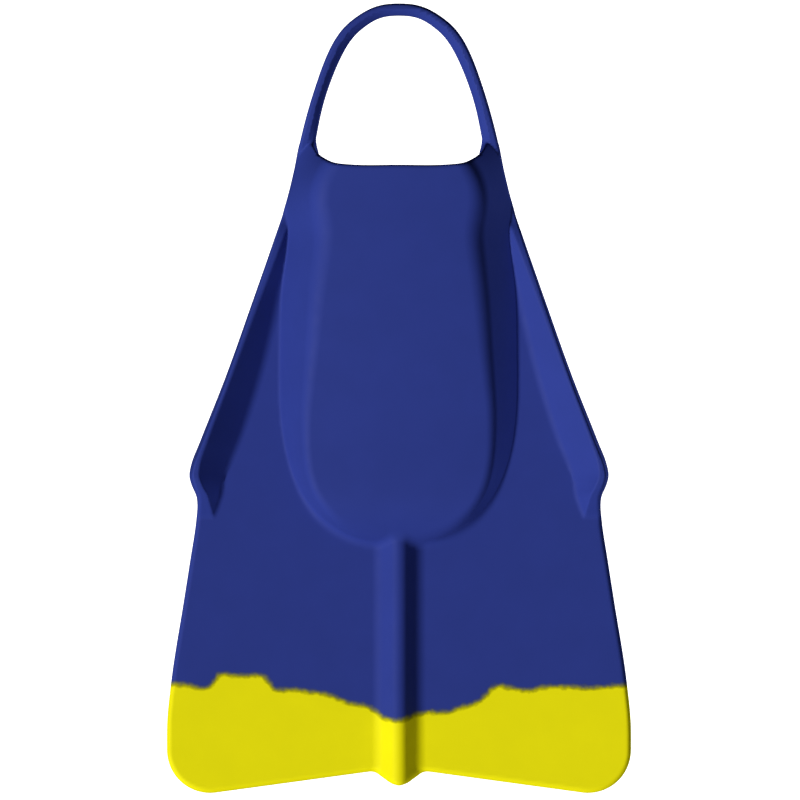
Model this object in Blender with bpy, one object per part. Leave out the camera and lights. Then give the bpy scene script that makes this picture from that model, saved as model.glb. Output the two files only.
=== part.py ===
"""Short rubber swim fin with an open heel strap.

The fin lies on its sole: +Y points to the heel strap, -Y to the blade tip, +X is
the right edge seen from above, +Z is up. Lengths below are in millimetres and are
turned into metres when a mesh is made.
"""
import math

import bmesh
import bpy

MM = 0.001
GAP = 0.3                      # between neighbouring pieces
SIDES = {"left": -1, "right": 1}

# ---- driving dimensions ------------------------------------------------------
MOUTH_Y = 118.4                # edge of the foot opening
TOE_Y = -74.6                  # front of the toe, at the height of the web
ROOT_Y = -77.2                 # root of the spine, at the height of the web
RAIL_END_Y = -59.6             # where the side rails run out into the blade
HINGE_Y = -100.0               # the blade bends about this line
HINGE_GAP = 2.0                # room between the plates that bend
STRAP_HINGE_Y = 132.6          # the strap swings about its two roots
STRAP_HINGE_Z = 39.0
NUB_Y = -196.7                 # end of the spine, past the trailing edge

SOLE_THICK = 7.0
POCKET_WALL = 4.5              # rubber thickness of the foot pocket
SIDE_INSET = 5.0               # how far the room for the foot ends inside the plan
EDGE_THICK = 0.4               # the pocket's solids are never thinner than this
UPPER_LEAN = [(118, 2.3), (85, 2.0), (50, 1.9), (0, 2.0), (-25, 2.3), (-40, 3.0),
              (-50, 3.8)]      # rise over run of the pocket's wall above the web
LOWER_LEAN = 2.75              # and below it
SHOULDER = 7.0                 # height over which the wall rounds into the roof
POCKET_MIDDLE_Y = 10.0         # the pocket is widest here; ahead of it the toe is rounded
POCKET_HALF = 61.0
TOE_POWER = 2.45               # 2 would be an ellipse, more is squarer
WAIST = [(10, 61.0), (50, 60.8), (85, 57.0), (105, 52.4), (130, 47.0)]
RAIL_TOP_WIDTH = 5.0
RAIL_LIP = 0.1                 # a rail's faces stay this much clear of the web's
SPINE_BASE = 10.4              # half widths of the spine, at the web and on its ridge
SPINE_RIDGE = 2.3
RIDGE_BEVEL = 1.5
KEEL_SHARE = 0.65              # width of the keel's face, as a share of the spine's
NUB_HEIGHT = 0.64              # height left at the spine's end, as a share
BEND_LEAN = 0.3                # the spine's end faces lean so that the blade can bend
ROOT_LEAN = 0.5                # and so does its root, which follows the toe
DRAIN_LENGTH = 46.0            # slot in the sole that lets water and sand out
DRAIN_WIDTH = 12.0
DRAIN_Y = -34.0

# Curves along the fin, as (y, value) from the heel to the tip.
EDGE = [(118.2, 52.3), (100, 56.7), (80, 63.4), (50, 73.9), (9, 88.6), (-22, 100.9),
        (-34, 105.5), (-39.5, 106.4), (-44.5, 105.1), (-50, 102.7), (-54, 102.3), (-62, 102.9),
        (-82, 105.9), (-103, 109.2), (-143, 115.5), (-165, 117.7), (-180, 117.8)]
WEB_MID = [(130, 39.0), (85, 33.0), (30, 25.0), (-20, 18.0), (-75, 13.0), (-140, 8.3),
           (-202, 4.0)]
WEB_THICK = [(130, 7.0), (-20, 7.0), (-100, 6.2), (-202, 5.4)]
POCKET_TOP = [(130, 80.0), (118.4, 77.5), (85, 71.0), (50, 63.0), (10, 53.0), (-21, 45.0),
              (-45, 39.8), (-53, 37.6), (-61, 33.3), (-68, 27.0), (-76, 16.5)]
RAIL_TOP = [(118.2, 41.0), (86, 39.4), (50, 40.2), (0, 39.0), (-37, 37.0), (-41.5, 36.0),
            (-60, 17.5)]
RAIL_BOTTOM = [(118.2, 27.0), (50, 17.0), (-38, 3.2), (-45, 4.4), (-60, 10.2)]
RAIL_FOOT = [(118.2, 47.0), (82, 57.4), (49.5, 61.5), (-1, 75.0), (-22, 81.5), (-39.5, 88.4),
             (-51, 92.0), (-60, 94.4)]
SPINE_ABOVE = [(-60, 8.0), (-80, 8.4), (-120, 8.4), (-190, 7.8)]
SPINE_BELOW = [(-60, 5.0), (-190, 1.2)]
NUB_WIDTH = [(-192.6, 0.74), (-195.0, 0.46), (NUB_Y, 0.2)]   # share of the spine's width

# Middle line of the heel strap as (x, y), from its root to the middle of the heel.
STRAP_PATH = [(48.0, 119.2), (46.2, 129.8), (41.4, 149.8), (34.4, 169.6), (27.5, 182.5),
              (19.6, 190.3), (10.4, 195.3), (0.0, 196.6)]
STRAP_HALF_THICK = [(119, 4.1), (132, 3.8), (150, 3.3), (187, 3.4), (197, 3.0)]
STRAP_HALF_HEIGHT = 13.5
STRAP_RISE = 11.0              # the strap climbs this much from its roots to the heel
STRAP_CORNER = 2.2             # height and width of the bevels on its long edges
STRAP_BEVEL = 1.6
ROOT_TURNS = (18, 40, 65, 90)  # degrees round a root's disc where it has a section

# The blade's two rear corners are arcs that meet a shallow V of trailing edge.
CORNER_X, CORNER_Y, CORNER_R = 95.8, -178.0, 22.0
CORNER_TURN = 0.08             # radians that the side edge has turned where the arc starts
TRAIL_X, TRAIL_Y = 14.7, -189.6
TRAIL_LEAN = math.radians(7.44)

# Where the cross sections and the points of the plain edges lie.
POCKET_STATIONS = (MOUTH_Y, 100, 85, 66, 50, 10, -21, -37, -47, -57, -64.5, -70.5, -73.6)
ROOM_STATIONS = (130,) + POCKET_STATIONS[1:-2] + (-67.6,)
RAIL_STATIONS = (MOUTH_Y, 100, 85, 66, 50, 10, -21, -34, -39.5, -45, -51, RAIL_END_Y)
EDGE_STATIONS = (-72, -86, -115, -130, -158)
WEB_BACK_Y = 46.0              # the webs end in a point between pocket and rail
CORNER_START_Y = -170.0

# Where the pocket's pieces part: instep and walls at SPLIT_HALF, the toe cap at SPLIT_Y.
SPLIT_Y = -44.0
SPLIT_HALF_BACK, SPLIT_HALF_FRONT = 28.0, 41.0
ROOF_ONLY_Z = 20.0             # the instep piece is cut from above this height
BEYOND = 5.0                   # how far cutters reach past the pocket's ends
CUTTER_HALF, CUTTER_TOP = 80.0, 90.0

# Where the blue rubber meets the yellow, as (distance from the middle, y).
COLOUR_LINE = {
    "left": [(10.8, -159), (26, -154.6), (36, -150.5), (54, -148.2), (64, -148.6),
             (66, -141), (91, -140.4), (97, -147), (116, -145.3)],
    "right": [(10.8, -160.2), (23, -159.8), (33, -156.6), (41, -153.8), (48, -146.6),
              (66, -148.4), (81, -146.5), (98, -147.3), (116, -146.1)],
}


# ---- small helpers -------------------------------------------------------------
def along(table, y):
    """Value of a (y, value) table at y, with straight stretches between its rows."""
    rows = sorted(table)
    if y <= rows[0][0]:
        return rows[0][1]
    for (y0, v0), (y1, v1) in zip(rows, rows[1:]):
        if y <= y1:
            return v0 + (v1 - v0) * (y - y0) / (y1 - y0)
    return rows[-1][1]


def smooth_points(points, steps):
    """Catmull-Rom curve through the points, with so many steps between each two."""
    ends = [points[0]] + list(points) + [points[-1]]
    out = []
    for p0, p1, p2, p3 in zip(ends, ends[1:], ends[2:], ends[3:]):
        for step in range(steps):
            t = step / steps
            out.append(tuple(
                0.5 * (2 * b + (c - a) * t + (2 * a - 5 * b + 4 * c - d) * t * t
                       + (3 * b - a - 3 * c + d) * t ** 3)
                for a, b, c, d in zip(p0, p1, p2, p3)))
    return out + [tuple(points[-1])]


EDGE_CURVE = smooth_points(EDGE, 3)


def edge_x(y):
    """Half width of the fin's outline at y, ahead of the tip corners."""
    return along(EDGE_CURVE, y)


def pocket_half_width(y):
    """Half width of the foot pocket where it meets the web."""
    if y > POCKET_MIDDLE_Y:
        return min(along(WAIST, y), edge_x(y) - RAIL_TOP_WIDTH - 2 * GAP)
    reach = min(1.0, (POCKET_MIDDLE_Y - y) / (POCKET_MIDDLE_Y - TOE_Y))
    return POCKET_HALF * (1 - reach ** TOE_POWER) ** (1 / TOE_POWER)


def pocket_depth(x, y):
    """How far a point lies inside the pocket's outline, about square to it."""
    half = max(pocket_half_width(y), 0.01)
    ahead = pocket_half_width(max(y - 1, TOE_Y))
    behind = pocket_half_width(y + 1)
    lean = (behind - ahead) / 2
    sideways = (half - abs(x)) / math.hypot(1, lean)
    return min(sideways, y - TOE_Y)


def soft_min(a, b, reach):
    """The smaller of two heights, rounded over where they are close."""
    mix = max(0.0, reach - abs(a - b)) / reach
    return min(a, b) - mix * mix * reach / 4


def new_object(name, bm, material):
    """Make a named object of a bmesh in millimetres."""
    bmesh.ops.recalc_face_normals(bm, faces=bm.faces)
    bmesh.ops.scale(bm, vec=(MM, MM, MM), verts=bm.verts)
    mesh = bpy.data.meshes.new(name)
    bm.to_mesh(mesh)
    bm.free()
    mesh.shade_smooth()
    mesh.set_sharp_from_angle(angle=math.radians(35))
    obj = bpy.data.objects.new(name, mesh)
    bpy.context.scene.collection.objects.link(obj)
    if material:
        obj.data.materials.append(material)
    return obj


def rubber(name, colour):
    """A matt rubber with a faint grain."""
    mat = bpy.data.materials.new(name)
    mat.use_nodes = True
    nodes, links = mat.node_tree.nodes, mat.node_tree.links
    shader = nodes["Principled BSDF"]
    shader.inputs["Base Color"].default_value = (*colour, 1)
    shader.inputs["Roughness"].default_value = 0.62
    grain = nodes.new("ShaderNodeTexNoise")
    grain.inputs["Scale"].default_value = 900
    bump = nodes.new("ShaderNodeBump")
    bump.inputs["Strength"].default_value = 0.08
    links.new(grain.outputs["Fac"], bump.inputs["Height"])
    links.new(bump.outputs["Normal"], shader.inputs["Normal"])
    return mat


def loft(sections, caps=None):
    """Closed solid through rings of as many points; caps lists the faces of its ends."""
    bm = bmesh.new()
    rings = [[bm.verts.new(point) for point in section] for section in sections]
    count = len(rings[0])
    for ring, following in zip(rings, rings[1:]):
        for i in range(count):
            j = (i + 1) % count
            bm.faces.new((ring[i], ring[j], following[j], following[i]))
    for cap in caps or [range(count)]:
        bm.faces.new([rings[0][i] for i in cap])
        bm.faces.new([rings[-1][i] for i in reversed(cap)])
    return bm


def prism(outline, low, high):
    """Upright solid on a plan outline, between two heights."""
    return loft([[(x, y, z) for x, y in outline] for z in (low, high)])


def cutter(name, bm):
    """A shape that only cuts others."""
    obj = new_object(name, bm, None)
    obj.hide_render = True
    obj.display_type = "WIRE"
    return obj


def cut(obj, tool, operation):
    """Add an exact Boolean of a cutter to an object."""
    modifier = obj.modifiers.new(operation.title(), "BOOLEAN")
    modifier.operation = operation
    modifier.solver = "EXACT"
    modifier.object = tool


# ---- the thin plates: web, blade and tip ------------------------------------------
def plate(name, outline, material):
    """Plate on a plan outline that follows the web's height and thickness."""
    bm = bmesh.new()
    base = bm.faces.new([bm.verts.new((x, y, 0)) for x, y in outline])
    grown = bmesh.ops.extrude_face_region(bm, geom=[base])["geom"]
    for item in grown:
        if isinstance(item, bmesh.types.BMVert):
            item.co.z = 1
    lowest = min(y for _, y in outline)
    highest = max(y for _, y in outline)
    for station, _ in sorted(WEB_MID + WEB_THICK):
        if lowest + 1 < station < highest - 1:
            geometry = bm.verts[:] + bm.edges[:] + bm.faces[:]
            bmesh.ops.bisect_plane(bm, geom=geometry, dist=1e-4,
                                   plane_co=(0, station, 0), plane_no=(0, 1, 0))
    for vert in bm.verts:
        y = vert.co.y
        vert.co.z = along(WEB_MID, y) + (vert.co.z - 0.5) * along(WEB_THICK, y)
    return new_object(name, bm, material)


def steps(start, stop, count):
    """Evenly spaced values from start to stop, both included."""
    return [start + (stop - start) * i / count for i in range(count + 1)]


def edge_points(back, front):
    """Points of the right outline from one place to another, both included."""
    between = [y for y in EDGE_STATIONS if front < y < back]
    return [(edge_x(y), y) for y in (back, *between, front)]


def web_outline():
    """Right web: between pocket, rail and spine, forward to the bending line."""
    front = HINGE_Y + HINGE_GAP / 2
    beside_rail = [WEB_BACK_Y] + [y for y in RAIL_STATIONS if y < WEB_BACK_Y]
    points = [(along(RAIL_FOOT, y) - GAP, y) for y in beside_rail]
    points += edge_points(RAIL_END_Y - GAP, front)
    points.append((SPINE_BASE + GAP, front))
    points.append((SPINE_BASE + GAP, TOE_Y))
    for y in [y for y in reversed(POCKET_STATIONS) if y < WEB_BACK_Y]:
        half = pocket_half_width(y)
        lean = pocket_half_width(y + 0.5) - pocket_half_width(y - 0.5)
        away = 2 * GAP / math.hypot(1, lean)
        points.append((half + away, y - lean * away))
    return points


def tip_corner():
    """Outer edge of the tip's right corner, down to its trailing edge."""
    return [(CORNER_X + CORNER_R * math.cos(a), CORNER_Y + CORNER_R * math.sin(a))
            for a in steps(CORNER_TURN, -math.pi / 2 - TRAIL_LEAN, 7)]


def mirrored(outline, side):
    """An outline drawn for the right side, moved to the wanted side."""
    return [(x * SIDES[side], y) for x, y in outline]


def blade_outline(side):
    """Blue blade plate, from the bending line to the colour line."""
    front = HINGE_Y - HINGE_GAP / 2
    line = COLOUR_LINE[side]
    inner = [(x, y + GAP) for x, y in reversed(line[:-1])]
    return edge_points(front, line[-1][1] + GAP) + inner + [(SPINE_BASE + GAP, front)]


def tip_outline(side):
    """Yellow tip plate, from the colour line to the trailing edge."""
    line = COLOUR_LINE[side]
    edge = edge_points(line[-1][1], CORNER_START_Y)
    return line[:-1] + edge + tip_corner() + [(TRAIL_X, TRAIL_Y), (SPINE_BASE + GAP, TRAIL_Y)]


# ---- side rails -------------------------------------------------------------------
def rail(name, side, material):
    """Edge beam: a flat top at the outline, then walls that lean in to the web."""
    sections = []
    for y in RAIL_STATIONS:
        outer, foot = edge_x(y), along(RAIL_FOOT, y)
        if y > WEB_BACK_Y:
            foot = max(foot, pocket_half_width(y) + 2 * GAP)
        top, bottom = along(RAIL_TOP, y), along(RAIL_BOTTOM, y)
        middle, half = along(WEB_MID, y), along(WEB_THICK, y) / 2
        inner = outer - min(RAIL_TOP_WIDTH, 0.9 * (outer - foot))
        ring = [(outer, top), (inner, max(top, middle + half + RAIL_LIP)),
                (foot, middle + half), (foot, middle - half),
                (inner, min(bottom, middle - half - RAIL_LIP)), (outer, bottom)]
        sections.append([(x * SIDES[side], y, z) for x, z in ring])
    return new_object(name, loft(sections), material)


# ---- centre spine -----------------------------------------------------------------
def spine(name, front, back, material, lean_front=0.0, lean_back=0.0):
    """Stretch of the spine; its end faces lean so that the blade can bend."""
    sections = []
    for part in steps(0, 1, 3):
        y = front + (back - front) * part
        lean = lean_front * (1 - part) + lean_back * part
        middle, half = along(WEB_MID, y), along(WEB_THICK, y) / 2
        top, bottom = half + along(SPINE_ABOVE, y), -half - along(SPINE_BELOW, y)
        bevelled, keel_half = SPINE_RIDGE + RIDGE_BEVEL, SPINE_BASE * KEEL_SHARE
        ring = [(SPINE_BASE, half), (bevelled, top - RIDGE_BEVEL), (SPINE_RIDGE, top),
                (-SPINE_RIDGE, top), (-bevelled, top - RIDGE_BEVEL), (-SPINE_BASE, half),
                (-SPINE_BASE, -half), (-keel_half, bottom), (keel_half, bottom),
                (SPINE_BASE, -half)]
        sections.append([(x, y + lean * abs(z), middle + z) for x, z in ring])
    ridge, core, keel = range(6), (0, 5, 6, 9), (6, 7, 8, 9)
    return new_object(name, loft(sections, [ridge, core, keel]), material)


def spine_tip(name, front, material):
    """Last stretch of the spine, which narrows to a nub past the trailing edge."""
    sections = []
    for y, share in [(front, 1.0), (TRAIL_Y + 1, 1.0)] + NUB_WIDTH:
        middle, half = along(WEB_MID, y), along(WEB_THICK, y) / 2
        height = NUB_HEIGHT + (1 - NUB_HEIGHT) * share
        top, bottom = half + along(SPINE_ABOVE, y) * height, -half - along(SPINE_BELOW, y)
        base = SPINE_BASE * share
        ridge, keel_half = min(SPINE_RIDGE, base * KEEL_SHARE), base * KEEL_SHARE
        ring = [(base, half), (ridge, top), (-ridge, top), (-base, half), (-base, -half),
                (-keel_half, bottom), (keel_half, bottom), (base, -half)]
        sections.append([(x, y, middle + z) for x, z in ring])
    return new_object(name, loft(sections), material)


# ---- heel strap -------------------------------------------------------------------
def strap_station(x, y, tangent, half_height):
    """Eight-sided band section at a point of the strap's middle line."""
    normal = (tangent[1], -tangent[0])
    thick = along(STRAP_HALF_THICK, y)
    way = (y - STRAP_HINGE_Y) / (STRAP_PATH[-1][1] - STRAP_HINGE_Y)
    rise = STRAP_RISE * max(0, way)
    low, flat = half_height - min(STRAP_CORNER, half_height / 2), thick - STRAP_BEVEL
    ring = [(thick, -low), (thick, low), (flat, half_height), (-flat, half_height),
            (-thick, low), (-thick, -low), (-flat, -half_height), (flat, -half_height)]
    return [(x + normal[0] * n, y + normal[1] * n, STRAP_HINGE_Z + rise + z) for n, z in ring]


def heel_strap(name, material):
    """Rubber band from root to root; each root is a disc about the hinge line."""
    path = smooth_points(STRAP_PATH, 3)
    by_y = [(y, x) for x, y in path]
    half = []
    for turn in (math.radians(degrees) for degrees in ROOT_TURNS):
        y = STRAP_HINGE_Y - STRAP_HALF_HEIGHT * math.cos(turn)
        half.append((along(by_y, y), y, STRAP_HALF_HEIGHT * math.sin(turn)))
    half += [(x, y, STRAP_HALF_HEIGHT) for x, y in path if y > STRAP_HINGE_Y + 1]
    whole = half + [(-x, y, height) for x, y, height in reversed(half[:-1])]
    sections = []
    for i, (x, y, height) in enumerate(whole):
        before, after = whole[max(i - 1, 0)], whole[min(i + 1, len(whole) - 1)]
        span = math.hypot(after[0] - before[0], after[1] - before[1])
        tangent = ((after[0] - before[0]) / span, (after[1] - before[1]) / span)
        sections.append(strap_station(x, y, tangent, height))
    return new_object(name, loft(sections), material)


# ---- foot pocket ------------------------------------------------------------------
ACROSS = (-1, -0.97, -0.9, -0.8, -0.68, -0.5, -0.25)


def pocket_roof(x, y, wall):
    """Height of the pocket's top; wall is how much rubber is taken off it."""
    lean = along(UPPER_LEAN, y)
    flank = along(WEB_MID, y) + 2 + lean * pocket_depth(x, y) - wall * math.hypot(1, lean)
    return soft_min(flank, along(POCKET_TOP, y) - wall, SHOULDER)


def pocket_floor(x, y, wall, lowest):
    """Height of the pocket's underside, in the same way."""
    thick = wall * math.hypot(1, LOWER_LEAN)
    return max(along(WEB_MID, y) - 2 - LOWER_LEAN * pocket_depth(x, y) + thick, lowest)


def pocket_solid(stations, inset, wall, lowest):
    """Loft of the pocket's outside, or of the room inside it."""
    sections = []
    across = list(ACROSS) + [0] + [-share for share in reversed(ACROSS)]
    for y in stations:
        half = pocket_half_width(y) - inset * math.hypot(
            1, pocket_half_width(y + 0.5) - pocket_half_width(y - 0.5))
        top, bottom = [], []
        for share in across:
            x = share * half
            roof, floor = pocket_roof(x, y, wall), pocket_floor(x, y, wall, lowest)
            if roof - floor < EDGE_THICK:
                middle = (roof + floor) / 2
                roof, floor = middle + EDGE_THICK / 2, middle - EDGE_THICK / 2
            top.append((x, y, roof))
            bottom.append((x, y, floor))
        sections.append(top + bottom[::-1])
    return loft(sections)


def pocket(blue):
    """The foot pocket: instep, two side walls and toe cap on a flat sole."""
    room = cutter("foot_room", pocket_solid(ROOM_STATIONS, SIDE_INSET, POCKET_WALL, SOLE_THICK))
    back, front = MOUTH_Y + BEYOND, TOE_Y - BEYOND
    zones = {
        "pocket_instep": [(SPLIT_HALF_BACK, back), (-SPLIT_HALF_BACK, back),
                          (-SPLIT_HALF_FRONT, SPLIT_Y + GAP), (SPLIT_HALF_FRONT, SPLIT_Y + GAP)],
        "toe_cap": [(CUTTER_HALF, SPLIT_Y), (-CUTTER_HALF, SPLIT_Y), (-CUTTER_HALF, front),
                    (CUTTER_HALF, front)],
    }
    for side in SIDES:
        zones["pocket_wall_" + side] = mirrored(
            [(SPLIT_HALF_BACK + GAP, back), (CUTTER_HALF, back), (CUTTER_HALF, SPLIT_Y + GAP),
             (SPLIT_HALF_FRONT + GAP, SPLIT_Y + GAP)], side)
    for name, zone in zones.items():
        piece = new_object(name, pocket_solid(POCKET_STATIONS, 0, 0, 0), blue)
        low = ROOF_ONLY_Z if name == "pocket_instep" else SOLE_THICK + GAP
        cut(piece, cutter(name + "_zone", prism(zone, low, CUTTER_TOP)), "INTERSECT")
        cut(piece, room, "DIFFERENCE")
    sole = new_object("pocket_sole", pocket_solid(POCKET_STATIONS, 0, 0, 0), blue)
    box = [(CUTTER_HALF, back), (-CUTTER_HALF, back), (-CUTTER_HALF, front), (CUTTER_HALF, front)]
    cut(sole, cutter("sole_zone", prism(box, -BEYOND, SOLE_THICK)), "INTERSECT")
    radius = DRAIN_WIDTH / 2
    reach = DRAIN_LENGTH / 2 - radius
    slot = [(end * reach + radius * math.cos(a), DRAIN_Y + radius * math.sin(a))
            for end, start in ((1, -math.pi / 2), (-1, math.pi / 2))
            for a in steps(start, start + math.pi, 4)]
    cut(sole, cutter("drain", prism(slot, -BEYOND, SOLE_THICK + BEYOND)), "DIFFERENCE")


# ---- the fin ------------------------------------------------------------------------
def empty(name, y, z, parent=None):
    """A joint's place; the pieces that move with it are its children."""
    obj = bpy.data.objects.new(name, None)
    obj.location = (0, y * MM, z * MM)
    bpy.context.scene.collection.objects.link(obj)
    if parent:
        obj.parent = parent
    return obj


def hang_on(obj, joint):
    """Make a piece a child of a joint without moving it."""
    obj.parent = joint
    obj.matrix_parent_inverse = joint.matrix_world.inverted()


def main():
    for obj in list(bpy.data.objects):
        bpy.data.objects.remove(obj, do_unlink=True)
    blue = rubber("blue_rubber", (0.020, 0.034, 0.200))
    yellow = rubber("yellow_rubber", (0.700, 0.640, 0.002))
    blade_joint = empty("blade_flex", HINGE_Y, along(WEB_MID, HINGE_Y))
    strap_joint = empty("strap_flex", STRAP_HINGE_Y, STRAP_HINGE_Z)
    bpy.context.view_layer.update()

    pocket(blue)
    for side in SIDES:
        rail("rail_" + side, side, blue)
        plate("web_" + side, mirrored(web_outline(), side), blue)
        hang_on(plate("blade_" + side, mirrored(blade_outline(side), side), blue), blade_joint)
        hang_on(plate("tip_" + side, mirrored(tip_outline(side), side), yellow), blade_joint)
    colour_y = COLOUR_LINE["right"][0][1]
    spine("spine_root", ROOT_Y, HINGE_Y + HINGE_GAP / 2, blue, ROOT_LEAN, BEND_LEAN)
    hang_on(spine("spine", HINGE_Y - HINGE_GAP / 2, colour_y + GAP, blue, -BEND_LEAN), blade_joint)
    hang_on(spine_tip("spine_tip", colour_y, yellow), blade_joint)
    hang_on(heel_strap("heel_strap", blue), strap_joint)


main()
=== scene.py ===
"""Looks of a short rubber swim fin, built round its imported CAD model.

The fin's skin is one smooth implicit surface, in millimetres: web, side rails, foot
pocket, spine and heel strap flow into each other as moulded rubber does. The surface
is meshed piece by piece, and neighbouring pieces share their cut line point by point.
"""
import math

import bpy
import numpy as np
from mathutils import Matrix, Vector


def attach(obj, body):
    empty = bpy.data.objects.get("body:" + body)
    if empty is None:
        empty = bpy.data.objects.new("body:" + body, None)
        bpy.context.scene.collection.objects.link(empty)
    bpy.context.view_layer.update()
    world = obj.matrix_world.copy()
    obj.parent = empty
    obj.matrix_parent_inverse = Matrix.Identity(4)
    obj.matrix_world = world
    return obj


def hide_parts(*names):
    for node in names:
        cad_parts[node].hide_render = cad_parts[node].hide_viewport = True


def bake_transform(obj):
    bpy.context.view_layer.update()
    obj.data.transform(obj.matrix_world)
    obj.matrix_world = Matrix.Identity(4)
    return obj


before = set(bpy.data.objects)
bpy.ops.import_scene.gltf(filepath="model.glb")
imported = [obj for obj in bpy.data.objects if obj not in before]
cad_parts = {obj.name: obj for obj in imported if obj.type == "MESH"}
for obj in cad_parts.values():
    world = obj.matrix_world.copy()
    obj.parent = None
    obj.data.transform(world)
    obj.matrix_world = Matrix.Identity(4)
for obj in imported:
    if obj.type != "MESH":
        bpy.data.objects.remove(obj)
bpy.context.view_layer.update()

MM = 0.001


# ---- values along the fin -----------------------------------------------------------
class Along:
    """A value that changes smoothly along the fin, from (y, value) points.

    The points are joined by Hermite curves, and the result is smoothed by a bell curve
    whose deviation is soften. Past the last points the value stays as it is there.
    """

    def __init__(self, points, soften=3.0):
        step = 0.25
        known = sorted(points)
        ys = np.array([p[0] for p in known], float)
        values = np.array([p[1] for p in known], float)
        slopes = np.gradient(values, ys)
        y = np.arange(-235, 235, step)
        i = np.clip(np.searchsorted(ys, y) - 1, 0, len(ys) - 2)
        width = ys[i + 1] - ys[i]
        t = np.clip((y - ys[i]) / width, 0, 1)
        dense = ((2 * t ** 3 - 3 * t ** 2 + 1) * values[i]
                 + (t ** 3 - 2 * t ** 2 + t) * width * slopes[i]
                 + (3 * t ** 2 - 2 * t ** 3) * values[i + 1]
                 + (t ** 3 - t ** 2) * width * slopes[i + 1])
        reach = int(3 * soften / step)
        weights = np.exp(-0.5 * (np.arange(-reach, reach + 1) * step / soften) ** 2)
        padded = np.pad(dense, reach, mode="edge")
        self.y = y
        self.values = np.convolve(padded, weights / weights.sum(), mode="valid")
        self.slopes = np.gradient(self.values, step)

    def __call__(self, y):
        return np.interp(y, self.y, self.values)

    def slope(self, y):
        return np.interp(y, self.y, self.slopes)


# ---- driving dimensions, in millimetres -----------------------------------------------
BEND_Y = (-80.0, -120.0)       # the blade bends between these, about the hinge between them
STRAP_Y = 122.0                # the strap piece starts here
RAIL_START_Y = 90.0            # behind this the pocket's wall takes the rail's place
RAIL_END_Y = -61.0
WEB_END_Y = 34.0               # behind this the web is a sliver, and counts as rail
HALF_LENGTH = 203.0            # how far the meshing grid reaches
HALF_WIDTH = 121.0
BOTTOM_Z, TOP_Z = -1.7, 81.0

# Half width of the outline.
EDGE = Along([(140, 46.9), (130, 49.7), (118, 52.3), (100, 56.7), (80, 63.4), (50, 73.9),
              (9, 88.6), (-22, 100.9), (-34, 105.5), (-39.5, 106.4), (-44.5, 105.1),
              (-50, 102.7), (-54, 102.3), (-62, 102.9), (-82, 105.9), (-103, 109.2),
              (-143, 115.5), (-165, 117.7), (-180, 117.8), (-230, 117.8)], 1.0)
WEB_MID = Along([(130, 39.0), (85, 33.0), (30, 25.0), (-20, 18.0), (-75, 13.0),
                 (-140, 8.3), (-202, 4.0)], 8)
WEB_HALF = Along([(130, 3.5), (-20, 3.5), (-100, 3.1), (-202, 2.7)], 8)
CORNER_ROUND = 22.0            # plan radius of the tip's corners
TRAIL_X, TRAIL_Y = 14.7, -189.6
TRAIL_LEAN = math.radians(7.8)
RIM_ROUND = Along([(-40, 1.0), (-66, 2.6)], 3)   # edges: crisp on the rails, round on the blade
RAIL_DRAFT = 0.09              # the rails' outer faces lean in from the mould's parting line
WEB_FILLET = 2.0               # between rail and web

POCKET_HALF = Along([(140, 48.4), (130, 51.2), (118, 53.8), (108, 56.3), (100, 57.6), (92, 57.8),
                     (84, 57.6), (75, 58.4), (60, 59.8), (50, 60.4), (20, 61.0), (-40, 61.0)], 3)
POCKET_CENTRE_Y, TOE_LENGTH, TOE_HALF, TOE_POWER = 10.0, 84.6, 61.0, 2.45
LEAST_SIZE, LEAST_SLOPE = 0.25, 0.004   # keep the toe's formula finite near its middle
POCKET_TOP = Along([(130, 80.0), (118.4, 77.5), (85, 71.0), (50, 63.0), (10, 53.0), (-21, 45.0),
                    (-45, 39.8), (-53, 37.6), (-61, 33.3), (-68, 27.0), (-76, 16.5), (-84, 5.0)], 2.5)
UPPER_LEAN = Along([(130, 1.1), (119, 2.3), (85, 2.0), (50, 1.9), (0, 2.0), (-25, 2.3), (-40, 3.0),
                    (-50, 3.8), (-60, 4.0)], 5)   # rise over run
LOWER_LEAN = 2.75
FLANK_Z = 2.0                  # the walls start this far above and below the web's middle
ROOF_CROWN, ROOF_HALF = 1.0, 40.0   # the roof falls by this much at this distance from x = 0
ROOF_COSINE = 0.975            # of the roof's slope along the fin
SHOULDER = Along([(118, 8.0), (40, 5.5), (-20, 3.4)], 10)   # roundness where wall meets roof
SOLE_THICK = 7.0
POCKET_WALL = 4.5
SIDE_WALL = Along([(130, 8.6), (118, 7.6), (90, 4.5)], 4)   # thicker where the strap grows out
# The mouth's edge, by distance from x = 0, and how much further back it lies, by height.
MOUTH_BACK = Along([(0, 117.9), (22, 117.9), (28, 118.3), (31.5, 118.7), (34, 119.3), (36.5, 120.4),
                    (38.6, 121.6), (41, 123.3), (43, 126.5), (46, 129.0), (53, 129.5)], 0.8)
MOUTH_LOW = Along([(-5, -5.0), (7, -4.5), (20, -3.0), (45, 0.0), (80, 0.0)], 3)
FOOT_FILLET = Along([(-35, 1.3), (-65, 4.0)], 4)   # between the pocket's foot and the web

RAIL_TOP = Along([(130, 38.0), (100, 36.0), (92, 37.0), (86, 39.4), (50, 40.2), (0, 39.0),
                  (-37, 37.0), (-41.5, 36.0), (-61.5, 16.0), (-71, 6.0)], 1.2)
RAIL_BOTTOM = Along([(130, 25.0), (118, 27.0), (50, 17.0), (-38, 3.2), (-45, 4.4), (-60, 12.0),
                     (-70, 18.0)], 2.0)
RAIL_WIDTH = Along([(118, 4.8), (-41, 5.2), (-47, 5.7), (-52, 6.2), (-60, 8.4)], 1)
RAIL_LEAN = Along([(118, 0.88), (-22, 0.88), (-41, 0.73), (-47, 0.6), (-60, 0.58)], 2)   # run over rise

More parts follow.
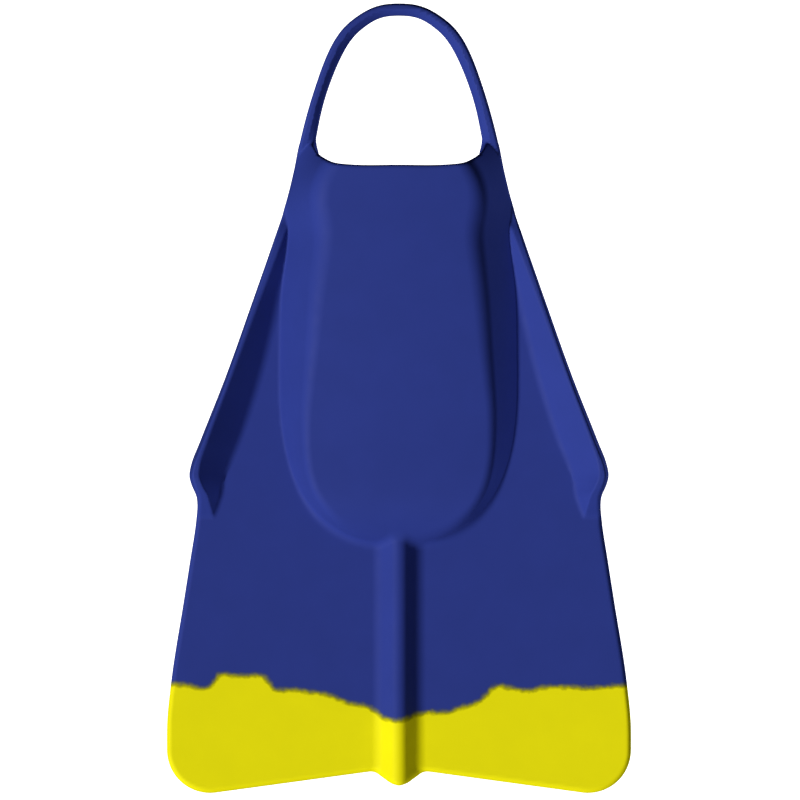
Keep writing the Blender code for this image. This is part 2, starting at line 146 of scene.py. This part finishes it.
SPINE_BASE, SPINE_RIDGE = 10.4, 2.3   # half widths, on the web and on the ridge
SPINE_FILLET = 2.4
KEEL_INSET = 3.5
SPINE_ABOVE = Along([(-60, 7.6), (-120, 7.6), (-190, 7.4), (-200, 7.0)], 5)
SPINE_BELOW = Along([(-60, 5.0), (-190, 1.2)], 5)
NUB_Y, NUB_HALF = -196.8, 2.4  # the spine's end, past the trailing edge
NUB_SPREAD = 1.4               # half width gained per millimetre behind the nub
NUB_COSINE = 0.58              # of the slant of the nub's sides

STRAP_PATH = [(48.8, 106.0), (48.1, 118.0), (46.2, 129.8), (41.4, 149.8), (34.4, 169.6),
              (27.5, 182.5), (19.6, 190.3), (10.4, 195.3), (0.0, 196.6)]
STRAP_HALF = Along([(105, 4.0), (119, 4.1), (132, 3.8), (150, 3.3), (187, 3.4), (197, 3.0)], 3)
STRAP_Z = Along([(105, 33.0), (118, 35.5), (130, 39.0), (197, 50.0), (205, 50.5)], 5)
STRAP_HALF_HEIGHT = Along([(105, 4.5), (118, 5.5), (124, 7.4), (131, 11.3), (143, 13.0)], 3)
STRAP_OVAL, STRAP_ROUND = 0.7, 1.8   # the band's long edges: drawn out by one over OVAL
STRAP_BEVEL = Along([(118, 0.2), (145, 1.1), (200, 1.1)], 4)   # the inner half slopes down
STRAP_FILLET = (0.8, 8.0)      # at the outline, and what is added well inside it
STRAP_FILLET_RISE = (3.5, 5.0)  # it grows from this far inside the outline, over this far
STRAP_CLEAR = 12.0             # further ahead of its first point, the strap changes nothing
DRAIN_REACH, DRAIN_HALF, DRAIN_Y = 17.0, 6.0, -34.0
DRAIN_TOP = 12.0

# Where the blue rubber meets the yellow, from the left edge to the right, as (x, y).
COLOUR_LINE = [(-125, -145.5), (-114, -145.3), (-106, -146.0), (-98.5, -147.6), (-95, -145.5),
               (-91, -140.8), (-84, -140.9), (-75, -141.0), (-69, -141.6), (-66.2, -144.0),
               (-63.4, -147.4), (-58, -148.2), (-53.6, -148.1), (-45.5, -149.3),
               (-36.5, -150.5), (-26, -154.6),
               (-14, -157.8), (-8.2, -161.9), (-1, -163.9), (8.6, -160.7), (15.7, -159.4),
               (23.1, -159.8), (32.9, -156.6), (41, -153.8), (45, -149.7), (49, -146.6),
               (57.2, -147.3), (66, -148.5), (73.3, -146.9), (81.4, -146.5), (97.6, -147.3),
               (112.2, -146.1), (125, -146.0)]
LINE_Y = Along(COLOUR_LINE, 0.5)


# ---- joining shapes ---------------------------------------------------------------------
def join(a, b, reach):
    """Union of two shapes, with a fillet as large as reach in the hollow between them."""
    near = np.maximum(reach - np.abs(a - b), 0) / reach
    return np.minimum(a, b) - near * near * reach / 4


def meet(a, b, reach):
    """What two shapes share, with the edge between them rounded over by reach."""
    near = np.maximum(reach - np.abs(a - b), 0) / reach
    return np.maximum(a, b) + near * near * reach / 4


def round_edge(a, b, radius):
    """What two shapes share, with an edge of a true radius where they are square."""
    a, b = a + radius, b + radius
    corner = np.hypot(np.maximum(a, 0), np.maximum(b, 0))
    return corner + np.minimum(np.maximum(a, b), 0) - radius


# ---- the fin's shapes: negative inside, in millimetres -------------------------------------
def outline(x, y):
    """Distance in plan from the blade's outline."""
    side = (np.abs(x) - EDGE(y)) / np.sqrt(1 + EDGE.slope(y) ** 2)
    trail_y = TRAIL_Y - math.tan(TRAIL_LEAN) * (np.abs(x) - TRAIL_X)
    trail = (trail_y - y) * math.cos(TRAIL_LEAN)
    a, b = side + CORNER_ROUND, trail + CORNER_ROUND
    between = -math.sin(TRAIL_LEAN)
    far = np.sqrt(np.maximum(a * a + b * b - 2 * a * b * between, 0)) / math.cos(TRAIL_LEAN)
    at_corner = (a - b * between > 0) & (b - a * between > 0)
    return np.where(at_corner, far, np.maximum(a, b)) - CORNER_ROUND


def plate(x, y, z, edge):
    """The flat web and the two side rails, inside the outline."""
    web = np.abs(z - WEB_MID(y)) - WEB_HALF(y)
    lean = RAIL_LEAN(y)
    inner_x = EDGE(y) - RAIL_WIDTH(y)

    def beam(fall, reach):
        """One half of a rail: a level face, then a wall that leans in to the web."""
        wall = (inner_x + fall * lean - np.abs(x)) / np.hypot(1, lean)
        return meet(wall, fall, reach)

    rail = np.maximum(beam(z - RAIL_TOP(y), 0.7), beam(RAIL_BOTTOM(y) - z, 2.5))
    edge = edge + RAIL_DRAFT * np.maximum(web, 0)
    return round_edge(join(web, rail, WEB_FILLET), edge, RIM_ROUND(y))


def pocket_depth(x, y):
    """How far a point lies inside the pocket's plan."""
    side = (POCKET_HALF(y) - np.abs(x)) / np.sqrt(1 + POCKET_HALF.slope(y) ** 2)
    u = np.abs(x) / TOE_HALF
    v = np.maximum(POCKET_CENTRE_Y - y, 0) / TOE_LENGTH
    size = np.maximum((u ** TOE_POWER + v ** TOE_POWER) ** (1 / TOE_POWER), LEAST_SIZE)
    slope_x = (u / size) ** (TOE_POWER - 1) / TOE_HALF
    slope_y = (v / size) ** (TOE_POWER - 1) / TOE_LENGTH
    toe = (1 - size) / np.maximum(np.hypot(slope_x, slope_y), LEAST_SLOPE)
    return np.where(y > POCKET_CENTRE_Y, side, toe)


def pocket(x, y, z, depth, hollow=False):
    """The foot pocket's outside, or the room inside it."""
    middle, lean = WEB_MID(y), UPPER_LEAN(y)
    side, wall = (SIDE_WALL(y), POCKET_WALL) if hollow else (0, 0)
    crown = ROOF_CROWN * (x / ROOF_HALF) ** 2
    flank = (z - middle - FLANK_Z - depth * lean) / np.hypot(1, lean) + side
    roof = (z - POCKET_TOP(y) + crown) * ROOF_COSINE + wall
    under = (middle - FLANK_Z - z - depth * LOWER_LEAN) / math.hypot(1, LOWER_LEAN) + side
    floor = -z + (SOLE_THICK if hollow else 0)
    upper = meet(flank, roof, SHOULDER(y))
    lower = meet(under, floor, 9.0 if hollow else 5.0)
    return meet(upper, lower, 8.0 if hollow else 1.0)


def spine(x, y, z):
    """Ridge along the middle of the blade, with a low keel under it."""
    middle, half = WEB_MID(y), WEB_HALF(y)
    above, below = SPINE_ABOVE(y), SPINE_BELOW(y)
    side = np.abs(x) - SPINE_BASE
    run = SPINE_BASE - SPINE_RIDGE
    over = z - middle - half
    flank = (side * above + over * run) / np.hypot(above, run)
    ridge = meet(flank, over - above, 1.6)
    beneath = middle - half - z
    keel_side = (side * below + beneath * KEEL_INSET) / np.hypot(below, KEEL_INSET)
    keel = meet(keel_side, beneath - below, 2.0)
    nub = (np.abs(x) - NUB_HALF - (y - NUB_Y) * NUB_SPREAD) * NUB_COSINE
    end = round_edge(nub, NUB_Y - y, 2.0)
    return meet(meet(ridge, keel, 1.0), end, 3.0)


def strap_line():
    """Middle line of the heel strap in plan, from its right root to its left root."""
    ends = [STRAP_PATH[0]] + STRAP_PATH + [(-STRAP_PATH[-2][0], STRAP_PATH[-2][1])]
    p = np.array(ends, float)
    t = np.arange(0, 1, 0.2)[:, None]
    runs = [0.5 * (2 * b + (c - a) * t + (2 * a - 5 * b + 4 * c - d) * t ** 2
                   + (3 * b - a - 3 * c + d) * t ** 3)
            for a, b, c, d in zip(p, p[1:], p[2:], p[3:])]
    half = np.concatenate(runs + [p[-2:-1]])
    return np.concatenate([half, half[-2::-1] * (-1, 1)])


STRAP_LINE = strap_line()


def strap(x, y, z):
    """The heel strap: a band on edge, rounded, that climbs towards the heel."""
    nearest = np.full(np.broadcast(x, y).shape, 1e9)
    outward = np.zeros(nearest.shape)
    for (x0, y0), (x1, y1) in zip(STRAP_LINE, STRAP_LINE[1:]):
        dx, dy = x1 - x0, y1 - y0
        t = np.clip(((x - x0) * dx + (y - y0) * dy) / (dx * dx + dy * dy), 0, 1)
        away = (x - x0 - t * dx) ** 2 + (y - y0 - t * dy) ** 2
        beside = (dy * (x - x0) - dx * (y - y0)) / math.hypot(dx, dy)
        outward = np.where(away < nearest, beside, outward)
        nearest = np.minimum(nearest, away)
    half_height = STRAP_HALF_HEIGHT(y) + STRAP_BEVEL(y) * np.minimum(outward, 0)
    tall = (np.abs(z - STRAP_Z(y)) - half_height) * STRAP_OVAL
    return round_edge(np.sqrt(nearest) - STRAP_HALF(y), tall, STRAP_ROUND)


def smooth_step(t):
    """Rise from 0 to 1 with level ends."""
    t = np.clip(t, 0, 1)
    return t * t * (3 - 2 * t)


def fin(x, y, z):
    """The whole fin."""
    edge, depth = outline(x, y), pocket_depth(x, y)
    body = join(plate(x, y, z, edge), spine(x, y, z), SPINE_FILLET)
    body = join(body, meet(pocket(x, y, z, depth), edge, 1.0), FOOT_FILLET(y))
    body = meet(body, y - MOUTH_BACK(np.abs(x)) - MOUTH_LOW(z), 2.0)
    body = meet(body, -pocket(x, y, z, depth, hollow=True), 2.6)
    slot = np.hypot(np.maximum(np.abs(x) - DRAIN_REACH, 0), y - DRAIN_Y) - DRAIN_HALF
    body = meet(body, -np.maximum(slot, z - DRAIN_TOP), 1.6)
    if np.max(y) < STRAP_PATH[0][1] - STRAP_CLEAR:
        return body
    inward = smooth_step((EDGE(y) - STRAP_FILLET_RISE[0] - np.abs(x)) / STRAP_FILLET_RISE[1])
    fillet = STRAP_FILLET[0] + STRAP_FILLET[1] * inward
    return join(body, strap(x, y, z), fillet)


# ---- meshing ------------------------------------------------------------------------------
STEP = np.array([0.8, 1.4, 1.0]) * 1   # finest across the rails
SETTLE_ROUNDS = 6
MOST_STEPS = 1.6               # a point that moves further than this is settled anew


def centred(reach, step):
    """Grid lines with the given reach to both sides of zero."""
    count = math.ceil(reach / step)
    return np.arange(-count, count + 1) * step


GRID = (centred(HALF_WIDTH, STEP[0]), centred(HALF_LENGTH, STEP[1]),
        np.arange(BOTTOM_Z, TOP_Z + STEP[2], STEP[2]))


def on_grid(shape, part=(slice(None),) * 3):
    """A shape's values on the grid, or on a part of it."""
    x, y, z = (axis[cut] for axis, cut in zip(GRID, part))
    return shape(x[:, None, None], y[None, :, None], z[None, None, :])


def corners(values):
    """The eight corners of each grid cell."""
    nx, ny, nz = (n - 1 for n in values.shape)
    return [values[i:i + nx, j:j + ny, k:k + nz] for i in (0, 1) for j in (0, 1) for k in (0, 1)]


def crossed(values):
    """The cells through which a shape's surface passes."""
    inside = corners(values < 0)
    some, every = inside[0].copy(), inside[0].copy()
    for corner in inside[1:]:
        some |= corner
        every &= corner
    return some & ~every


def slopes(shape, p):
    """Gradient of a shape at points."""
    reach = 0.05
    out = np.empty_like(p)
    for axis in range(3):
        ahead, behind = p.copy(), p.copy()
        ahead[:, axis] += reach
        behind[:, axis] -= reach
        out[:, axis] = (shape(*ahead.T) - shape(*behind.T)) / (2 * reach)
    return out


def settle(points, shapes, active):
    """Move points onto the surfaces that are active for them, by the shortest way."""
    p = points.copy()
    count = len(shapes)
    for _ in range(SETTLE_ROUNDS):
        value = np.zeros((len(p), count))
        slope = np.zeros((len(p), count, 3))
        for i, shape in enumerate(shapes):
            rows = np.flatnonzero(active[:, i])
            if len(rows):
                value[rows, i] = shape(*p[rows].T)
                slope[rows, i] = slopes(shape, p[rows])
        square = slope @ slope.transpose(0, 2, 1) + np.eye(count) * 1e-6
        square += np.eye(count) * (~active)[:, None, :]
        move = (slope.transpose(0, 2, 1) @ np.linalg.solve(square, value[:, :, None]))[:, :, 0]
        length = np.linalg.norm(move, axis=1, keepdims=True)
        p -= move * np.minimum(1, STEP.max() / np.maximum(length, 1e-9))
    return p


def quads_between(inside, index):
    """Faces between neighbouring cells, one for each grid edge that leaves the solid."""
    faces, starts, axes, outward = [], [], [], []
    for axis in range(3):
        u, v = (axis + 1) % 3, (axis + 2) % 3
        low = [slice(1, -1)] * 3
        low[axis] = slice(0, -1)
        high = list(low)
        high[axis] = slice(1, None)
        a, b = inside[tuple(low)], inside[tuple(high)]
        at = np.argwhere(a != b)
        leaves = a[tuple(at.T)]
        at[:, u] += 1
        at[:, v] += 1
        ring = []
        for du, dv in ((-1, -1), (0, -1), (0, 0), (-1, 0)):
            cell = at.copy()
            cell[:, u] += du
            cell[:, v] += dv
            ring.append(index[tuple(cell.T)])
        ring = np.stack(ring, axis=1)
        ring[~leaves] = ring[~leaves][:, ::-1]
        faces.append(ring)
        starts.append(at)
        axes.append(np.full(len(at), axis))
        outward.append(leaves)
    return np.concatenate(faces), np.concatenate(starts), np.concatenate(axes), np.concatenate(outward)


def cut_faces(values_fin, values_cuts, starts, axes, leaves):
    """Which faces lie on a cut and not on the fin's skin."""
    far = starts.copy()
    far[np.arange(len(far)), axes] += 1
    inner = np.where(leaves[:, None], starts, far)
    outer = np.where(leaves[:, None], far, starts)

    def share(values):
        a, b = values[tuple(inner.T)], values[tuple(outer.T)]
        return np.where(b > 0, a / np.minimum(a - b, -1e-9), 2.0)

    first_cut = np.min([share(v) for v in values_cuts], axis=0) if values_cuts else 2.0
    return first_cut < share(values_fin)


FIN_VALUES = on_grid(fin).astype(np.float32)


def skin_piece(name, *cuts):
    """Closed mesh of the fin where every cut is negative."""
    values_cuts = [np.broadcast_to(on_grid(cut), FIN_VALUES.shape) for cut in cuts]
    whole = FIN_VALUES
    for values in values_cuts:
        whole = np.maximum(whole, values)
    spans = [np.flatnonzero((whole < 0).any(axis=tuple({0, 1, 2} - {a}))) for a in range(3)]
    part = tuple(slice(max(s[0] - 2, 0), s[-1] + 3) for s in spans)
    whole = whole[part]
    values_fin = FIN_VALUES[part]
    values_cuts = [v[part] for v in values_cuts]
    cells = crossed(whole)
    index = np.full(cells.shape, -1)
    index[cells] = np.arange(cells.sum())
    at = np.argwhere(cells)
    points = np.stack([GRID[a][part[a]][at[:, a]] + STEP[a] / 2 for a in range(3)], axis=1)
    shapes = [fin, *cuts]
    active = np.stack([crossed(v)[cells] for v in [values_fin, *values_cuts]], axis=1)
    settled = settle(points, shapes, active)
    far = np.linalg.norm(settled - points, axis=1) > MOST_STEPS * STEP.max()
    if far.any():
        rows = np.flatnonzero(far)
        highest = np.stack([shape(*points[rows].T) for shape in shapes], axis=1)
        only = np.zeros((len(rows), len(shapes)), bool)
        only[np.arange(len(rows)), highest.argmax(axis=1)] = True
        settled[rows] = settle(points[rows], shapes, only)
    faces, starts, axes, leaves = quads_between(whole < 0, index)
    on_cut = cut_faces(values_fin, values_cuts, starts, axes, leaves)
    return solid(name, settled, faces, on_cut)


def solid(name, points, faces, on_cut):
    """Blender object of a closed mesh, with the skin's true normals off the cuts."""
    mesh = bpy.data.meshes.new(name)
    mesh.vertices.add(len(points))
    mesh.vertices.foreach_set("co", (points * MM).astype(np.float32).ravel())
    mesh.loops.add(faces.size)
    mesh.loops.foreach_set("vertex_index", faces.astype(np.int32).ravel())
    mesh.polygons.add(len(faces))
    mesh.polygons.foreach_set("loop_start", np.arange(0, faces.size, 4, dtype=np.int32))
    mesh.update(calc_edges=True)
    mesh.validate()
    mesh.polygons.foreach_set("use_smooth", np.ones(len(faces), bool))
    normals = slopes(fin, points)
    normals /= np.maximum(np.linalg.norm(normals, axis=1, keepdims=True), 1e-9)
    corner = points[faces]
    flat = np.cross(corner[:, 2] - corner[:, 0], corner[:, 3] - corner[:, 1])
    flat /= np.maximum(np.linalg.norm(flat, axis=1, keepdims=True), 1e-9)
    at_corners = np.where(on_cut[:, None, None], flat[:, None, :], normals[faces])
    mesh.normals_split_custom_set(at_corners.reshape(-1, 3).tolist())
    rest = mesh.attributes.new("rest_place", "FLOAT_VECTOR", "POINT")
    rest.data.foreach_set("vector", (points * MM).astype(np.float32).ravel())
    line = mesh.attributes.new("past_line", "FLOAT", "POINT")
    x, y = points[:, 0], points[:, 1]
    past = (LINE_Y(x) - y) / np.sqrt(1 + LINE_Y.slope(x) ** 2)
    line.data.foreach_set("value", past.astype(np.float32))
    obj = bpy.data.objects.new(name, mesh)
    bpy.context.scene.collection.objects.link(obj)
    return obj


# ---- materials ------------------------------------------------------------------------------
BLUES = ((0.0196, 0.0334, 0.196, 1), (0.0204, 0.0346, 0.204, 1))   # of darker and lighter patches
YELLOWS = ((0.690, 0.632, 0.002, 1), (0.708, 0.648, 0.002, 1))
OLIVE = (0.020, 0.034, 0.002, 1)   # where the two rubbers blend


def rubber(name):
    """Satin moulded rubber, blue behind the colour line and yellow past it."""
    mat = bpy.data.materials.new(name)
    mat.use_nodes = True
    nodes, links = mat.node_tree.nodes, mat.node_tree.links
    shader = nodes["Principled BSDF"]
    shader.inputs["Specular IOR Level"].default_value = 0.05

    def node(kind, **settings):
        made = nodes.new(kind)
        for key, value in settings.items():
            setattr(made, key, value)
        return made

    place = node("ShaderNodeAttribute", attribute_name="rest_place")

    def noise(scale, detail=2.0, rough=0.5):
        made = node("ShaderNodeTexNoise")
        made.inputs["Scale"].default_value = scale
        made.inputs["Detail"].default_value = detail
        made.inputs["Roughness"].default_value = rough
        links.new(place.outputs["Vector"], made.inputs["Vector"])
        return made.outputs["Fac"]

    def math_node(operation, a, b):
        made = node("ShaderNodeMath", operation=operation)
        for socket, value in zip(made.inputs, (a, b)):
            if isinstance(value, (int, float)):
                socket.default_value = value
            else:
                links.new(value, socket)
        return made.outputs[0]

    def spread(value, low, high, to_low, to_high):
        made = node("ShaderNodeMapRange")
        for socket, item in zip(made.inputs, (value, low, high, to_low, to_high)):
            if isinstance(item, (int, float)):
                socket.default_value = item
            else:
                links.new(item, socket)
        return made.outputs["Result"]

    def mix(share, a, b):
        made = node("ShaderNodeMix", data_type="RGBA", blend_type="MIX")
        for socket, item in zip((made.inputs[0], made.inputs[6], made.inputs[7]), (share, a, b)):
            if isinstance(item, (int, float, tuple)):
                socket.default_value = item
            else:
                links.new(item, socket)
        return made.outputs[2]

    past = node("ShaderNodeAttribute", attribute_name="past_line").outputs["Fac"]
    ragged = math_node("ADD", past, spread(noise(300, 2), 0.3, 0.7, -0.5, 0.5))
    yellow_share = math_node("POWER", spread(ragged, -2.4, 1.6, 0.0, 1.0), 2.2)
    patches = spread(noise(60, 3), 0.35, 0.65, 0.0, 1.0)
    thinned_blue = mix(spread(ragged, -2.4, 0.4, 0.0, 1.0), mix(patches, *BLUES), OLIVE)
    colour = mix(yellow_share, thinned_blue, mix(patches, *YELLOWS))
    links.new(colour, shader.inputs["Base Color"])
    links.new(spread(noise(140, 4, 0.6), 0.3, 0.7, 0.58, 0.68), shader.inputs["Roughness"])
    grain = math_node("ADD", math_node("MULTIPLY", noise(2600, 2), 0.5),
                      math_node("MULTIPLY", noise(520, 3), 0.5))
    bump = node("ShaderNodeBump")
    bump.inputs["Strength"].default_value = 0.10
    bump.inputs["Distance"].default_value = 0.0002
    links.new(grain, bump.inputs["Height"])
    links.new(bump.outputs["Normal"], shader.inputs["Normal"])
    return mat


# ---- pieces -----------------------------------------------------------------------------------
def side_of(side):
    """Cut: the left or the right half."""
    return (lambda x, y, z: x) if side == "left" else (lambda x, y, z: -x)


def behind(limit):
    """Cut: towards the heel of a place along the fin."""
    return lambda x, y, z: limit - y


def ahead(limit):
    """Cut: towards the tip of a place along the fin."""
    return lambda x, y, z: y - limit


def reverse(cut):
    """The other side of a cut."""
    return lambda x, y, z: -cut(x, y, z)


def in_pocket(x, y, z):
    """Cut: inside the pocket's plan, and all of the fin behind the rails."""
    return np.minimum(-pocket_depth(x, y), RAIL_START_Y - y)


def in_rail(x, y, z):
    """Cut: outside the rail's inner foot, or behind the web's rear end."""
    rise = np.maximum(RAIL_TOP(y) - WEB_MID(y) - WEB_HALF(y), 0)
    foot = EDGE(y) - RAIL_WIDTH(y) - rise * RAIL_LEAN(y) - 1.0
    return np.minimum(foot - np.abs(x), WEB_END_Y - y)


def in_spine(x, y, z):
    """Cut: the strip that holds the spine and its fillets."""
    return np.abs(x) - SPINE_BASE - 1.0


def in_tip(x, y, z):
    """Cut: past the colour line."""
    return (y - LINE_Y(x)) / np.sqrt(1 + LINE_Y.slope(x) ** 2)


def in_sole(x, y, z):
    """Cut: below the top of the sole."""
    return z - SOLE_THICK


RUBBER = rubber("fin_rubber")


def finish_piece(obj, slot, *nodes):
    """Material and the CAD nodes that a piece stands for; slot is not used."""
    obj.data.materials.append(RUBBER)
    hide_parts(*nodes)
    return obj


def bends(obj):
    """Bake a piece's place into its mesh."""
    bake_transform(obj)


def build_pieces():
    """All pieces; those round the pocket are put on the foot pocket's body and the yellow tips on the
    blade's.
    """
    strap_piece = finish_piece(skin_piece("heel_strap_band", behind(STRAP_Y)),
                               "blue_rubber", "heel_strap")
    bends(strap_piece)
    fixed = [
        finish_piece(skin_piece("pocket_upper", ahead(STRAP_Y), in_pocket, reverse(in_sole)),
                     "blue_rubber", "pocket_instep", "pocket_wall_left", "pocket_wall_right",
                     "toe_cap"),
        finish_piece(skin_piece("sole", in_pocket, in_sole), "blue_rubber", "pocket_sole"),
        finish_piece(skin_piece("spine_base", reverse(in_pocket), in_spine, behind(BEND_Y[0])),
                     "blue_rubber", "spine_root"),
    ]
    root = (reverse(in_pocket), behind(BEND_Y[0]), ahead(STRAP_Y), reverse(in_spine))

    def in_rail_run(x, y, z):
        return np.maximum(in_rail(x, y, z), RAIL_END_Y - y)

    for side in ("left", "right"):
        fixed.append(finish_piece(
            skin_piece("side_rail_" + side, side_of(side), in_rail, reverse(in_pocket),
                       behind(RAIL_END_Y), ahead(STRAP_Y)), "blue_rubber", "rail_" + side))
        fixed.append(finish_piece(
            skin_piece("web_panel_" + side, side_of(side), *root, reverse(in_rail_run)),
            "blue_rubber", "web_" + side))
    for piece in fixed:
        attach(piece, "foot_pocket")
    blade = (ahead(BEND_Y[0]), reverse(in_tip))
    blue = [finish_piece(skin_piece("blade_spine", *blade, in_spine), "blue_rubber", "spine")]
    tips = [finish_piece(skin_piece("tip_spine", in_tip, in_spine), "yellow_rubber",
                         "spine_tip")]
    for side in ("left", "right"):
        half = (side_of(side), reverse(in_spine))
        blue.append(finish_piece(skin_piece("blade_panel_" + side, *blade, *half),
                                 "blue_rubber", "blade_" + side))
        tips.append(finish_piece(skin_piece("tip_panel_" + side, in_tip, *half),
                                 "yellow_rubber", "tip_" + side))
    for piece in blue:
        bends(piece)
    for piece in tips:
        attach(piece, "blade")


# ---- floor, light and camera ---------------------------------------------------------------------
CAMERA_PLACE = (0.0005, -0.001, 16.0)   # metres, straight above the fin
FRAME_WIDTH = 0.4061           # metres across the picture, at the floor
SENSOR_MM = 36.0
FLOOR_HALF, FLOOR_Z = 30.0, -0.0005


def floor():
    """Plain pale floor."""
    corner_signs = ((-1, -1), (1, -1), (1, 1), (-1, 1))
    points = [(u * FLOOR_HALF, v * FLOOR_HALF, FLOOR_Z) for u, v in corner_signs]
    mesh = bpy.data.meshes.new("floor")
    mesh.from_pydata(points, [], [(0, 1, 2, 3)])
    mat = bpy.data.materials.new("floor")
    mat.use_nodes = True
    shader = mat.node_tree.nodes["Principled BSDF"]
    shader.inputs["Base Color"].default_value = (0.8, 0.8, 0.8, 1)
    shader.inputs["Roughness"].default_value = 1.0
    shader.inputs["Specular IOR Level"].default_value = 0.0
    shader.inputs["Emission Color"].default_value = (1, 1, 1, 1)
    shader.inputs["Emission Strength"].default_value = 1.0
    mesh.materials.append(mat)
    obj = bpy.data.objects.new("floor", mesh)
    bpy.context.scene.collection.objects.link(obj)
    obj.visible_diffuse = False
    obj.visible_glossy = False


def far_light(name, towards, strength, spread, glossy):
    """A far soft light; with no shadows, as in the flat light of a catalogue picture."""
    data = bpy.data.lights.new(name, "SUN")
    data.energy = strength
    data.angle = math.radians(spread)
    data.use_shadow = False
    obj = bpy.data.objects.new(name, data)
    obj.rotation_euler = Vector(towards).to_track_quat("Z", "Y").to_euler()
    obj.visible_glossy = glossy
    bpy.context.scene.collection.objects.link(obj)


def studio():
    """Floor, a key light from the upper left, a fill from below right, and the camera."""
    floor()
    far_light("key", (-0.66, -0.42, 0.62), 4.65, 12, glossy=True)
    far_light("bounce", (0.8, -0.1, -0.59), 2.7, 30, glossy=False)
    world = bpy.data.worlds.new("studio")
    world.use_nodes = True
    world.node_tree.nodes["Background"].inputs["Color"].default_value = (0.9, 0.95, 1, 1)
    world.node_tree.nodes["Background"].inputs["Strength"].default_value = 0.05
    bpy.context.scene.world = world
    data = bpy.data.cameras.new("camera")
    data.sensor_width = SENSOR_MM
    data.lens = SENSOR_MM * CAMERA_PLACE[2] / FRAME_WIDTH
    data.clip_end = 2 * CAMERA_PLACE[2]
    camera = bpy.data.objects.new("camera", data)
    camera.location = CAMERA_PLACE
    bpy.context.scene.collection.objects.link(camera)
    bpy.context.scene.camera = camera
    bpy.context.scene.view_settings.view_transform = "Standard"


build_pieces()
studio()
